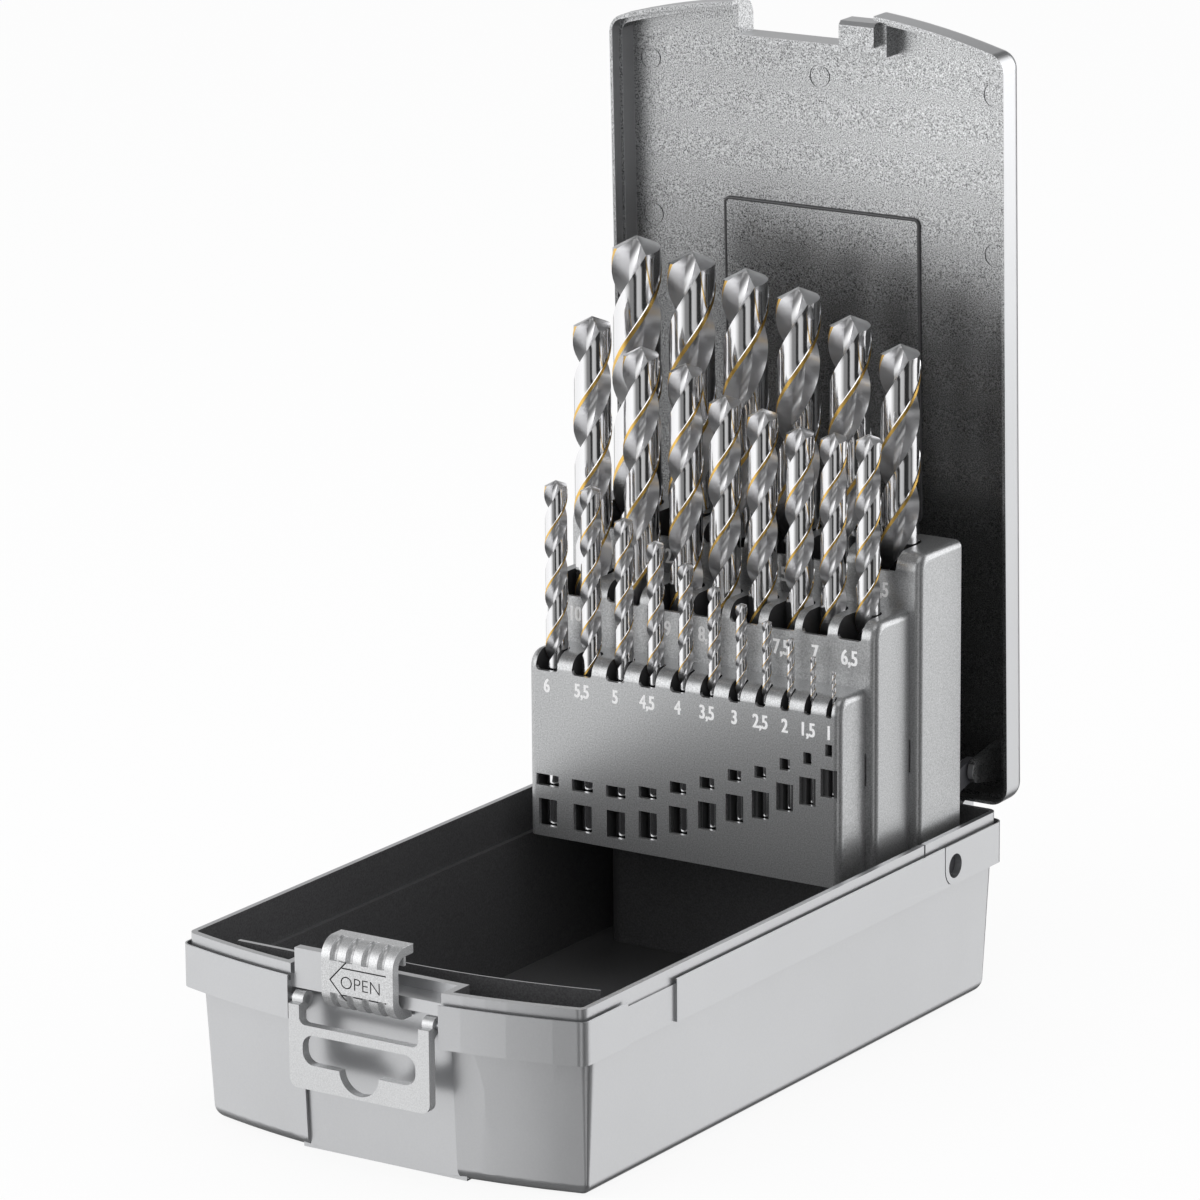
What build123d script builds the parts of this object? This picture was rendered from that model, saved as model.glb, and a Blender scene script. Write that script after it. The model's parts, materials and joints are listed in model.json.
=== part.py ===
from build123d import *
import math
import os

os.makedirs("parts", exist_ok=True)

# Case for twenty-five twist drills, modelled open: tray flat, lid up, drill holder raised.
# Millimetres. The origin is the middle of the tray's underside, +Z up, the latch at the front (-Y).
# "Closed" sizes of the lid are given as it lies on the tray, and lid_plane() then opens it.

# ---------------------------------------------------------------- driving sizes
# tray
case_half_width = 59.0
case_length = 196.8           # front corners to rear face
front_bow = 8.7               # how far the curved front stands ahead of its corners
case_corner_radius = 3.0
skirt_bottom_z = 35.3
skirt_top_z = 46.2
rim_top_z = 48.9
rim_inset = 1.15              # rim's outer face behind the skirt's face
rim_corner_radius = 2.85
skirt_lip = 0.4               # thin edge left outside the groove at the rim's foot
rim_groove_depth = 1.4
upper_wall = 2.6              # from the skirt's face to the inside
lower_wall = 2.0
floor_thickness = 2.5
body_side_inset = 2.0         # body below the skirt, measured at the skirt's bottom
body_front_inset = 4.9
body_rear_inset = 1.5
body_draft = 3.2              # degrees
bottom_edge_radius = 3.5
shelf_thickness = 2.0
grip_recess_start = 18.5      # shallow finger recess in both sides of the skirt, from the front corner
grip_recess_length = 21.5
grip_recess_depth = 0.7
rim_slit_y = 60.1
rim_slit_width = 0.7
front_rib_thickness = 1.2
front_rib_setback = 16.8      # curved rib behind the front wall
front_rib_left_x = -2.0
front_rib_right_x = 52.8
short_rib_outer_x = 43.5
rear_step_half_width = 48.0
rear_step_front_y = 73.6
rear_step_top_z = 31.0
rear_step_radius = 5.0

# notch in the middle of the front, with the lip and rail that the latch runs on
notch_half_width = 22.0
notch_wall = 2.0
notch_wall_setback = 1.0      # recessed rim wall behind the line of the front corners
notch_body_setback = -1.0     # recessed body face at the skirt's bottom
lip_front = 5.7               # lip's front face ahead of the line of the front corners
lip_thickness = 3.2
rail_height = 6.8
rail_thickness = 2.5
rail_left_x = -21.0
rail_right_x = 5.0
lip_groove_depth = 1.2
lip_groove_width = 1.6
lip_groove_front = 4.2
lip_groove_half_length = 19.0

# lid, closed sizes
lid_gap = 0.2                 # lid's edge above the skirt
lid_top_z = 56.8
lid_wall = 2.0
lid_roof = 2.1
lid_edge_lip = 0.9            # thin outer edge that drops over the rim
lid_edge_lip_depth = 3.0
lid_corner_radius = 5.0
lid_rabbet_radius = 3.1       # keeps the rabbet's corners clear of the rim's
lid_edge_radius = 4.9
lid_notch_half_width = 21.2
lid_notch_setback = 1.5
lid_block_left_x = 10.8
lid_block_right_x = 21.2
lid_block_front = 5.5
panel_half_width = 29.2
panel_front_y = -52.3
panel_rear_y = 27.5
panel_height = 0.5
panel_corner_radius = 1.5
ejector_radius = 3.1
ejector_groove = 0.35
ejector_x = 51.6
ejector_groove_depth = 0.25
ejector_front_y = -86.9
ejector_second_y = -45.4
lid_open_angle = 88.5         # degrees from closed

# lid hinge
hinge_offset_y = 2.1          # axis behind the tray's rear face
hinge_z = 47.0
hinge_x = 36.0
hinge_pin_radius = 1.0
hinge_clearance = 0.05
hinge_press = 0.02            # gap of a pin in the piece that holds it
hinge_knuckle_radius = 2.0
hinge_knuckle_length = 10.0
hinge_side_gap = 0.3
hinge_ear_length = 5.0
hinge_ear_depth = 4.0
hinge_ear_drop = 5.0

# drill holder, standing
holder_front_y = 36.35
front_block_depth = 12.4
middle_block_depth = 16.7
rear_block_depth = 20.4
front_block_half_width = 47.0
middle_block_half_width = 50.0
rear_block_half_width = 53.0
holder_bottom_z = 41.6
front_block_top_z = 91.0
middle_block_top_z = 108.2
rear_block_top_z = 122.7
block_front_edge_radius = 4.5
block_corner_radius = 2.0
pocket_floor = 1.0            # least floor under a drill
pocket_clearance = 0.3        # round a drill
pocket_front_wall = 1.2
mouth_drop = 5.0              # a pocket is open to the block's front face down to this
mouth_corner_radius = 1.0
front_drill_setback = 0.5     # row 1 pockets: centre behind the pocket's front corner, plus the radius
middle_drill_depth = 9.0      # row 2 and row 3: centre behind the block's front face
rear_drill_depth = 11.0
clip_thickness = 1.4
clip_height = 8.0
clip_reach = 2.0
clip_gap = 0.3
clip_z = 70.0                 # middle of the clips
window_width = 5.6            # widest; a small drill's window is narrower
window_least_width = 4.4
window_width_gain = 0.3       # per millimetre of drill
window_margin = 0.5           # upper window, round the drill
window_height = 7.3
upper_window_height = 3.1
window_spacing = 8.7          # between the middles of the two windows of one pocket
window_rise = 5.4             # middle of the lower window above the pocket's floor

# holder pivot
holder_pivot_y = 73.6
holder_pivot_z = 40.2
pivot_hole_radius = 3.2
pivot_hole_depth = 4.4        # through the wall and the edge of the shelf behind it
pivot_pin_clearance = 0.1
pivot_pin_recess = 2.0
pivot_boss_reach = 1.6        # out from the rear block's side
pivot_boss_radius = 4.0
pivot_ear_top_z = 46.0
tongue_line_offset = 5.1
tongue_line_width = 0.4
tongue_line_depth = 0.6

# lift links: each pin of a link lies by this offset from its pivot, so the link stays level
link_offset_y = -4.0
link_offset_z = 12.0
link_x = 49.6                 # middle of a link
link_thickness = 1.8
link_slot_gap = 0.6
link_half_width = 3.0
link_pin_radius = 1.25
link_pin_play = 0.6           # open play of the upper pin
link_pin_wall = 1.4           # how far the lower pin reaches into each side of the slot
link_pin_head_radius = 2.2
link_pin_head = 0.6
link_side_gap = 0.5
lug_thickness = 1.6
lug_radius = 3.4
lug_root_front = 17.0         # lug's root on the lid's roof, ahead of the hinge
lug_root_rear = 6.5

# latch slider
slider_half_width = 10.5
slider_front = 9.5            # ahead of the line of the front corners
slider_rear = 0.8
slider_lower_rear = 1.8
slider_bottom_z = 40.0
slider_top_z = 58.0
slider_wall = 2.4
slider_radius = 5.0
slider_clearance = 0.3
slider_rib = 1.0
grip_notch_radius = 1.0
grip_notch_spacing = 4.6

# hanger
hanger_half_width = 20.5
hanger_arm = 3.1
hanger_front = 9.3
hanger_thickness = 2.5
hanger_bottom_z = 19.0
hanger_plate_top_z = 35.2
hanger_corner_radius = 2.5
hanger_pivot_front = 5.6
hanger_pivot_z = 40.5
hanger_eye_radius = 2.1
hanger_eye_bottom_z = 38.4
hanger_arm_top_drop = 0.5     # arm's front stays this far below its pivot, to pass the tray's lip
hanger_inner_radius = 1.8
hanger_pin_radius = 1.0
hanger_pin_hole_depth = 2.0
hanger_slot_width = 33.0
hanger_slot_height = 7.6
hanger_slot_radius = 3.2
hanger_slot_top_gap = 2.3
hanger_dip_radius = 5.8
hanger_dip_drop = 5.4

# twist drills: diameter, whole length, and rise of the pocket's floor above the lowest one
point_angle = 135.0
flute_pitch = 4.5             # in diameters
flute_share = 0.64            # fluted part of the length
flute_centre = 0.90           # flute's centre and radius, in drill radii
flute_radius = 0.68
point_relief = 0.02           # the ground point's step in from the drill, in drill radii
front_row = [
    (6.0, 93.0, 0.0), (5.5, 93.0, 0.0), (5.0, 86.0, 0.0), (4.5, 80.0, 1.3), (4.0, 72.7, 4.1),
    (3.5, 65.3, 6.7), (3.0, 58.7, 10.0), (2.5, 53.2, 12.1), (2.0, 46.6, 15.3), (1.5, 40.2, 17.9),
    (1.0, 34.4, 20.9),
]
middle_row = [
    (10.0, 133.0, 0.0), (9.5, 125.0, 1.8), (9.0, 124.0, 0.0), (8.5, 117.0, 0.2), (8.0, 115.0, 0.0),
    (7.5, 109.0, 2.7), (7.0, 109.0, 2.4), (6.5, 101.0, 11.2),
]
rear_row = [
    (13.0, 151.0, 0.0), (12.5, 148.6, 0.0), (12.0, 146.0, 0.0), (11.5, 142.0, 0.9),
    (11.0, 137.3, 0.0), (10.5, 131.6, 0.0),
]
front_row_start_x = -41.3
front_row_web = 5.0           # between the sides of two drills in a row
middle_row_x = [-40.6, -25.7, -12.2, -0.4, 10.9, 22.0, 32.0, 42.2]
rear_row_start_x = -39.0
rear_row_web = 4.1

# ---------------------------------------------------------------- derived places
front_y = -case_length / 2
rear_y = case_length / 2
bow_radius = (case_half_width ** 2 + front_bow ** 2) / (2 * front_bow)
lip_bottom_z = skirt_top_z - lip_thickness
rail_top_z = skirt_top_z + rail_height
lid_edge_z = skirt_top_z + lid_gap
hinge_y = rear_y + hinge_offset_y
shelf_z = skirt_bottom_z + shelf_thickness
middle_block_front_y = holder_front_y + front_block_depth
rear_block_front_y = middle_block_front_y + middle_block_depth
lowest_pocket_z = holder_bottom_z + pocket_floor
notch_inner_y = front_y + notch_wall_setback + notch_wall
link_lower_y = holder_pivot_y + link_offset_y
link_lower_z = holder_pivot_z + link_offset_z


def bow_of(half_width):
    """Height of the front's arc over a narrower outline, kept concentric."""
    return bow_radius - math.sqrt(bow_radius ** 2 - half_width ** 2)


def case_outline(side_inset, front_inset, rear_inset, corner):
    """Plan of the case, inset from the skirt's faces, with its curved front."""
    half_width = case_half_width - side_inset
    front = front_y + front_inset
    rear = rear_y - rear_inset
    with BuildSketch() as outline:
        with BuildLine():
            ThreePointArc((-half_width, front), (0, front - bow_of(half_width)), (half_width, front))
            Line((half_width, front), (half_width, rear))
            Line((half_width, rear), (-half_width, rear))
            Line((-half_width, rear), (-half_width, front))
        make_face()
        if corner > 0:
            fillet(outline.vertices(), corner)
    return outline.sketch


def lid_plane(height):
    """Plane at a closed height, carried round the hinge with the lid to its open angle."""
    turn = math.radians(lid_open_angle)
    across = (0 - hinge_y) * math.cos(turn) + (height - hinge_z) * math.sin(turn)
    up = -(0 - hinge_y) * math.sin(turn) + (height - hinge_z) * math.cos(turn)
    return Plane(
        origin=(0, hinge_y + across, hinge_z + up),
        x_dir=(1, 0, 0),
        z_dir=(0, math.sin(turn), math.cos(turn)),
    )


def lid_side_plane(x):
    """Plane across the lid at x; its own x is closed y, and its own y is closed z."""
    base = lid_plane(0)
    origin = base.from_local_coords(Vector(x, 0, 0))
    return Plane(origin=origin, x_dir=base.y_dir, z_dir=(1, 0, 0))


def save(part, name):
    part.label = name
    export_step(part, "parts/" + name + ".step")


# ---------------------------------------------------------------- base_shell
skirt_outline = case_outline(0, 0, 0, case_corner_radius)
groove_outline = case_outline(skirt_lip, skirt_lip, skirt_lip, case_corner_radius - skirt_lip)
rim_outline = case_outline(rim_inset, rim_inset, rim_inset, rim_corner_radius)
upper_cavity = case_outline(upper_wall, upper_wall, upper_wall, 1.0)
body_outline = case_outline(body_side_inset, body_front_inset, body_rear_inset, case_corner_radius)
lower_cavity = case_outline(
    body_side_inset + lower_wall, body_front_inset + lower_wall, body_rear_inset + lower_wall, 1.0
)
draft_run = math.tan(math.radians(body_draft))
notch_top_y = front_y + notch_body_setback - (lip_bottom_z - skirt_bottom_z) * draft_run
notch_bottom_y = front_y + notch_body_setback + skirt_bottom_z * draft_run

with BuildPart() as base_shell:
    with BuildSketch(Plane.XY.offset(skirt_bottom_z)):
        add(body_outline)
    extrude(amount=-skirt_bottom_z, taper=body_draft)
    fillet(base_shell.edges().group_by(Axis.Z)[0], bottom_edge_radius)
    with BuildSketch(Plane.XY.offset(skirt_bottom_z)):
        add(skirt_outline)
    extrude(amount=skirt_top_z - skirt_bottom_z)
    with BuildSketch(Plane.XY.offset(skirt_top_z)):
        add(rim_outline)
    extrude(amount=rim_top_z - skirt_top_z)
    # groove between the skirt's lip and the rim
    with BuildSketch(Plane.XY.offset(skirt_top_z)):
        add(groove_outline)
        add(rim_outline, mode=Mode.SUBTRACT)
    extrude(amount=-rim_groove_depth, mode=Mode.SUBTRACT)
    # inside, wider above the shelf
    with BuildSketch(Plane.XY.offset(shelf_z)):
        add(upper_cavity)
    extrude(amount=rim_top_z - shelf_z, mode=Mode.SUBTRACT)
    with BuildSketch(Plane.XY.offset(shelf_z)):
        add(lower_cavity)
    extrude(amount=-(shelf_z - floor_thickness), taper=body_draft, mode=Mode.SUBTRACT)

    # walls round the notch in the front
    with BuildSketch(Plane.YZ):
        with BuildLine():
            Polyline(
                (notch_bottom_y, 0), (notch_bottom_y + notch_wall, 0), (notch_inner_y, lip_bottom_z),
                (notch_inner_y, rim_top_z), (front_y - lip_front, rim_top_z),
                (front_y - lip_front, shelf_z), (notch_top_y, shelf_z), close=True,
            )
        make_face()
    extrude(amount=notch_half_width + notch_wall, both=True)
    # the notch itself, above the lip, in front of it and below it
    with BuildSketch(Plane.YZ):
        with BuildLine():
            Polyline(
                (front_y - 2 * front_bow, rim_top_z + 1), (front_y + notch_wall_setback, rim_top_z + 1),
                (front_y + notch_wall_setback, skirt_top_z), (front_y - lip_front, skirt_top_z),
                (front_y - lip_front, lip_bottom_z), (notch_top_y, lip_bottom_z),
                (notch_bottom_y, -1), (front_y - 2 * front_bow, -1), close=True,
            )
        make_face()
    extrude(amount=notch_half_width, both=True, mode=Mode.SUBTRACT)
    # rail that the open latch sits on
    with BuildSketch(Plane.XY.offset(skirt_top_z)):
        with Locations(((rail_left_x + rail_right_x) / 2, front_y - lip_front + rail_thickness / 2)):
            Rectangle(rail_right_x - rail_left_x, rail_thickness)
    extrude(amount=rail_height)
    # groove under the lip that keeps the latch from coming off forwards
    with BuildSketch(Plane.XY.offset(lip_bottom_z)):
        with Locations((0, front_y - lip_groove_front + lip_groove_width / 2)):
            Rectangle(2 * lip_groove_half_length, lip_groove_width)
    extrude(amount=lip_groove_depth, mode=Mode.SUBTRACT)

    # ribs behind the front wall
    rib_outer = case_outline(upper_wall, front_rib_setback, upper_wall, 0)
    rib_inner = case_outline(0, front_rib_setback + front_rib_thickness, upper_wall, 0)
    with BuildSketch(Plane.XY.offset(floor_thickness)):
        add(rib_outer)
        add(rib_inner, mode=Mode.SUBTRACT)
        with Locations(((front_rib_left_x + front_rib_right_x) / 2, front_y)):
            Rectangle(front_rib_right_x - front_rib_left_x, 4 * front_rib_setback, mode=Mode.INTERSECT)
    extrude(amount=rim_top_z - floor_thickness)
    short_rib_length = short_rib_outer_x - notch_half_width
    with BuildSketch(Plane.XY.offset(shelf_z)):
        with Locations((-notch_half_width - short_rib_length / 2, notch_inner_y - front_rib_thickness / 2)):
            Rectangle(short_rib_length, front_rib_thickness)
    extrude(amount=rim_top_z - shelf_z)

    # step across the rear of the floor
    with BuildSketch(Plane.XY.offset(floor_thickness)):
        with BuildLine():
            Polyline(
                (-rear_step_half_width, rear_y - upper_wall), (-rear_step_half_width, rear_step_front_y),
                (rear_step_half_width, rear_step_front_y), (rear_step_half_width, rear_y - upper_wall),
                close=True,
            )
        rear_step_face = make_face()
        fillet(rear_step_face.vertices().group_by(Axis.Y)[0], rear_step_radius)
    extrude(amount=rear_step_top_z - floor_thickness)

    # finger recesses, rim slits, pivot holes and the line round each snap tongue
    for side in (-1, 1):
        with BuildSketch(Plane.XY.offset(skirt_bottom_z)):
            with Locations((
                side * case_half_width, front_y + grip_recess_start + grip_recess_length / 2
            )):
                Rectangle(2 * grip_recess_depth, grip_recess_length)
        extrude(amount=skirt_top_z - skirt_bottom_z, mode=Mode.SUBTRACT)
        with BuildSketch(Plane.XY.offset(skirt_top_z)):
            with Locations((side * (case_half_width - upper_wall / 2), rim_slit_y)):
                Rectangle(upper_wall, rim_slit_width)
        extrude(amount=rim_top_z - skirt_top_z, mode=Mode.SUBTRACT)
        with BuildSketch(Plane.YZ.offset(side * case_half_width)):
            with Locations((holder_pivot_y, holder_pivot_z)):
                Circle(pivot_hole_radius)
        extrude(amount=-side * pivot_hole_depth, mode=Mode.SUBTRACT)
        with BuildSketch(Plane.YZ.offset(side * case_half_width)):
            with Locations((holder_pivot_y, holder_pivot_z)):
                Circle(tongue_line_offset + tongue_line_width / 2)
                Circle(tongue_line_offset - tongue_line_width / 2, mode=Mode.SUBTRACT)
            with Locations((
                holder_pivot_y - 2 * tongue_line_offset, holder_pivot_z - 2 * tongue_line_offset,
            )):
                Rectangle(4 * tongue_line_offset, 4 * tongue_line_offset, mode=Mode.INTERSECT)
            with Locations((holder_pivot_y - tongue_line_offset, (skirt_top_z + holder_pivot_z) / 2)):
                Rectangle(tongue_line_width, skirt_top_z - holder_pivot_z)
        extrude(amount=-side * tongue_line_depth, mode=Mode.SUBTRACT)

    # hinge ears on the rear face; their flat tops stop the open lid
    ear_offset = hinge_knuckle_length / 2 + hinge_side_gap + hinge_ear_length / 2
    for x in (-hinge_x - ear_offset, -hinge_x + ear_offset, hinge_x - ear_offset, hinge_x + ear_offset):
        with BuildSketch(Plane.YZ.offset(x)) as ear:
            with BuildLine():
                Polyline(
                    (rear_y - upper_wall, hinge_z - hinge_ear_drop), (hinge_y, hinge_z - hinge_ear_drop),
                    (hinge_y + hinge_ear_depth, hinge_z - hinge_knuckle_radius),
                    (hinge_y + hinge_ear_depth, hinge_z + hinge_knuckle_radius),
                    (hinge_y, hinge_z + hinge_knuckle_radius), (hinge_y, hinge_z),
                    (hinge_y - hinge_knuckle_radius, hinge_z), (hinge_y - hinge_knuckle_radius, skirt_top_z),
                    (rear_y - upper_wall, skirt_top_z - rim_groove_depth), close=True,
                )
            make_face()
            with Locations((hinge_y, hinge_z)):
                Circle(hinge_knuckle_radius)
                Circle(hinge_pin_radius + hinge_press, mode=Mode.SUBTRACT)
        extrude(amount=hinge_ear_length / 2, both=True)

    # blind holes for the hanger's pins in the ends of the notch
    for side in (-1, 1):
        with BuildSketch(Plane.YZ.offset(side * notch_half_width)):
            with Locations((front_y - hanger_pivot_front, hanger_pivot_z)):
                Circle(hanger_pin_radius + hinge_press)
        extrude(amount=side * hanger_pin_hole_depth, mode=Mode.SUBTRACT)
save(base_shell.part, "base_shell")


# ---------------------------------------------------------------- lid_shell, in closed sizes
lid_outline = case_outline(0, 0, 0, lid_corner_radius)
lid_cavity = case_outline(lid_wall, lid_wall, lid_wall, lid_corner_radius - lid_wall)
lid_rabbet = case_outline(lid_edge_lip, lid_edge_lip, lid_edge_lip, lid_rabbet_radius)
lid_roof_z = lid_top_z - lid_roof
lid_step_z = lid_edge_z + lid_edge_lip_depth
lid_notch_y = front_y + lid_notch_setback
lid_axis = Axis(lid_plane(0).origin, lid_plane(0).z_dir)
open_turn = math.radians(lid_open_angle)
link_upper_y = hinge_y + link_offset_y * math.cos(open_turn) - link_offset_z * math.sin(open_turn)
link_upper_z = hinge_z + link_offset_y * math.sin(open_turn) + link_offset_z * math.cos(open_turn)
lug_inner_x = link_x + link_thickness / 2 + link_side_gap

with BuildPart() as lid_shell:
    with BuildSketch(lid_plane(lid_edge_z)):
        add(lid_outline)
    extrude(amount=lid_top_z - lid_edge_z)
    fillet(lid_shell.edges().group_by(lid_axis)[-1], lid_edge_radius)
    with BuildSketch(lid_plane(lid_edge_z)):
        add(lid_cavity)
    extrude(amount=lid_roof_z - lid_edge_z, mode=Mode.SUBTRACT)
    # walls round the notch, then the notch itself
    with BuildSketch(lid_plane(lid_step_z)):
        add(lid_cavity)
        with Locations((0, lid_notch_y + lid_wall - case_length / 2)):
            Rectangle(2 * (lid_notch_half_width + lid_wall), case_length, mode=Mode.INTERSECT)
    extrude(amount=lid_roof_z - lid_step_z)
    with BuildSketch(lid_plane(lid_edge_z)):
        with Locations((0, lid_notch_y - front_bow)):
            Rectangle(2 * lid_notch_half_width, 2 * front_bow)
    extrude(amount=lid_top_z - lid_edge_z, mode=Mode.SUBTRACT)
    # rabbet that drops over the tray's rim
    with BuildSketch(lid_plane(lid_edge_z)):
        add(lid_rabbet)
    extrude(amount=lid_edge_lip_depth, mode=Mode.SUBTRACT)
    # block that the latch closes over
    with BuildSketch(lid_side_plane(lid_block_left_x)):
        with BuildLine():
            Polyline(
                (front_y - lid_block_front, lid_edge_z + 1), (front_y - lid_block_front + 1, lid_edge_z),
                (front_y + notch_wall_setback - slider_clearance, lid_edge_z),
                (front_y + notch_wall_setback - slider_clearance, lid_step_z),
                (lid_notch_y + lid_wall / 2, lid_step_z), (lid_notch_y + lid_wall / 2, rail_top_z),
                (front_y - lid_block_front, rail_top_z), close=True,
            )
        make_face()
    extrude(amount=lid_block_right_x - lid_block_left_x)
    # raised panel and ejector rings on the inner face
    with BuildSketch(lid_plane(lid_roof_z - panel_height)):
        with Locations((0, (panel_front_y + panel_rear_y) / 2)):
            RectangleRounded(2 * panel_half_width, panel_rear_y - panel_front_y, panel_corner_radius)
    extrude(amount=panel_height)
    with BuildSketch(lid_plane(lid_roof_z)):
        with Locations(*[
            (x, y) for x in (-ejector_x, 0, ejector_x) for y in (ejector_front_y, ejector_second_y)
        ]):
            Circle(ejector_radius)
            Circle(ejector_radius - ejector_groove, mode=Mode.SUBTRACT)
        with Locations((0, (panel_front_y + panel_rear_y) / 2)):
            Rectangle(2 * panel_half_width, panel_rear_y - panel_front_y, mode=Mode.SUBTRACT)
    extrude(amount=ejector_groove_depth, mode=Mode.SUBTRACT)
    # hinge knuckles
    for x in (-hinge_x, hinge_x):
        with BuildSketch(lid_side_plane(x)):
            with BuildLine():
                Polyline(
                    (hinge_y - hinge_offset_y - lid_edge_lip / 2, lid_edge_z),
                    (hinge_y - hinge_offset_y - lid_edge_lip / 2, hinge_z + 3 * hinge_knuckle_radius),
                    (hinge_y + hinge_knuckle_radius, hinge_z),
                    (hinge_y, lid_edge_z), close=True,
                )
            make_face()
            with Locations((hinge_y, hinge_z)):
                Circle(hinge_knuckle_radius)
                Circle(hinge_pin_radius + hinge_clearance, mode=Mode.SUBTRACT)
        extrude(amount=hinge_knuckle_length / 2, both=True)
    # lugs for the lift links
    for side in (-1, 1):
        with BuildSketch(lid_side_plane(side * lug_inner_x)):
            with BuildLine():
                Polyline(
                    (link_upper_y - lug_radius, link_upper_z), (link_upper_y + lug_radius, link_upper_z),
                    (hinge_y - lug_root_rear, lid_roof_z), (hinge_y - lug_root_front, lid_roof_z),
                    close=True,
                )
            make_face()
            with Locations((link_upper_y, link_upper_z)):
                Circle(lug_radius)
                Circle(link_pin_radius + hinge_press, mode=Mode.SUBTRACT)
        extrude(amount=side * lug_thickness)
save(lid_shell.part, "lid_shell")

# ---------------------------------------------------------------- hinge pins
for side, name in ((-1, "left"), (1, "right")):
    with BuildPart() as lid_hinge_pin:
        with BuildSketch(Plane.YZ.offset(side * hinge_x)):
            with Locations((hinge_y, hinge_z)):
                Circle(hinge_pin_radius)
        extrude(amount=hinge_knuckle_length / 2 + hinge_side_gap + hinge_ear_length, both=True)
    save(lid_hinge_pin.part, "lid_hinge_pin_" + name)

# ---------------------------------------------------------------- latch_slider
slider_inner_bottom_z = lip_bottom_z - slider_clearance
slider_inner_front = slider_front - slider_wall
with BuildPart() as latch_slider:
    with BuildSketch(Plane.YZ):
        with BuildSketch(mode=Mode.PRIVATE) as slider_outer:
            with Locations((
                front_y - (slider_front + slider_rear) / 2, (slider_bottom_z + slider_top_z) / 2
            )):
                Rectangle(slider_front - slider_rear, slider_top_z - slider_bottom_z)
            fillet(slider_outer.vertices().group_by(Axis.X)[0], slider_radius)
        add(slider_outer.sketch)
        with Locations((front_y - slider_lower_rear, slider_bottom_z)):
            Rectangle(
                slider_lower_rear, lip_bottom_z - slider_bottom_z,
                align=(Align.MIN, Align.MIN), mode=Mode.SUBTRACT,
            )
        with BuildSketch(mode=Mode.PRIVATE) as slider_inner:
            with Locations((
                front_y - slider_inner_front / 2,
                (slider_inner_bottom_z + slider_top_z - slider_wall) / 2,
            )):
                Rectangle(slider_inner_front, slider_top_z - slider_wall - slider_inner_bottom_z)
            fillet(slider_inner.vertices().group_by(Axis.X)[0], slider_radius - slider_wall)
        add(slider_inner.sketch, mode=Mode.SUBTRACT)
        # rib that runs on the rail, and rib that runs in the groove under the lip
        with Locations((
            front_y - lip_front + rail_thickness / 2,
            (rail_top_z + slider_clearance + slider_top_z - slider_wall / 2) / 2,
        )):
            Rectangle(slider_rib, slider_top_z - slider_wall / 2 - rail_top_z - slider_clearance)
        with Locations((
            front_y - lip_groove_front + lip_groove_width / 2,
            slider_inner_bottom_z + (lip_groove_depth - slider_wall / 2) / 2,
        )):
            Rectangle(slider_rib, lip_groove_depth + slider_wall / 2)
    extrude(amount=slider_half_width, both=True)
    # grip notches round the upper and lower front corners
    for direction, corner_z in ((1, slider_top_z - slider_radius), (-1, slider_bottom_z + slider_radius)):
        corner_y = front_y - slider_front + slider_radius
        with BuildSketch(Plane.XZ.offset(-corner_y)):
            with Locations((0, corner_z + direction * slider_radius)):
                with GridLocations(grip_notch_spacing, 1, 4, 1):
                    Circle(grip_notch_radius)
        revolve(
            axis=Axis((0, corner_y, corner_z), (direction, 0, 0)), revolution_arc=90, mode=Mode.SUBTRACT
        )
save(latch_slider.part, "latch_slider")

# ---------------------------------------------------------------- hanger
hanger_pivot_y = front_y - hanger_pivot_front
hanger_rear_y = front_y - hanger_front + hanger_thickness
slot_middle_z = hanger_plate_top_z - hanger_slot_top_gap - hanger_slot_height / 2
with BuildPart() as hanger:
    with BuildSketch(Plane.XZ.offset(-hanger_rear_y)) as hanger_face:
        with Locations((0, (hanger_bottom_z + hanger_eye_bottom_z) / 2)):
            Rectangle(2 * hanger_half_width, hanger_eye_bottom_z - hanger_bottom_z)
        fillet(hanger_face.vertices().group_by(Axis.Y)[0], hanger_corner_radius)
        with BuildSketch(mode=Mode.PRIVATE) as opening:
            with Locations((0, (hanger_plate_top_z + hanger_pivot_z) / 2)):
                Rectangle(2 * (hanger_half_width - hanger_arm), hanger_pivot_z - hanger_plate_top_z)
            fillet(opening.vertices().group_by(Axis.Y)[0], hanger_inner_radius)
        add(opening.sketch, mode=Mode.SUBTRACT)
        with Locations((0, slot_middle_z)):
            RectangleRounded(hanger_slot_width, hanger_slot_height, hanger_slot_radius, mode=Mode.SUBTRACT)
        with Locations((0, slot_middle_z - hanger_slot_height / 2 + hanger_dip_radius - hanger_dip_drop)):
            Circle(hanger_dip_radius, mode=Mode.SUBTRACT)
    extrude(amount=hanger_thickness)
    for side in (-1, 1):
        with BuildSketch(Plane.YZ.offset(side * (hanger_half_width - hanger_arm))):
            with BuildLine():
                Polyline(
                    (front_y - hanger_front, hanger_eye_bottom_z - 1),
                    (hanger_rear_y, hanger_eye_bottom_z - 1),
                    (hanger_pivot_y, hanger_pivot_z - hanger_eye_radius), (hanger_pivot_y, hanger_pivot_z),
                    (hanger_pivot_y - hanger_eye_radius, hanger_pivot_z - hanger_arm_top_drop / 2),
                    (front_y - hanger_front, hanger_pivot_z - hanger_arm_top_drop), close=True,
                )
            make_face()
            with Locations((hanger_pivot_y, hanger_pivot_z)):
                Circle(hanger_eye_radius)
                Circle(hanger_pin_radius + hinge_clearance, mode=Mode.SUBTRACT)
        extrude(amount=side * hanger_arm)
save(hanger.part, "hanger")

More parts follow.
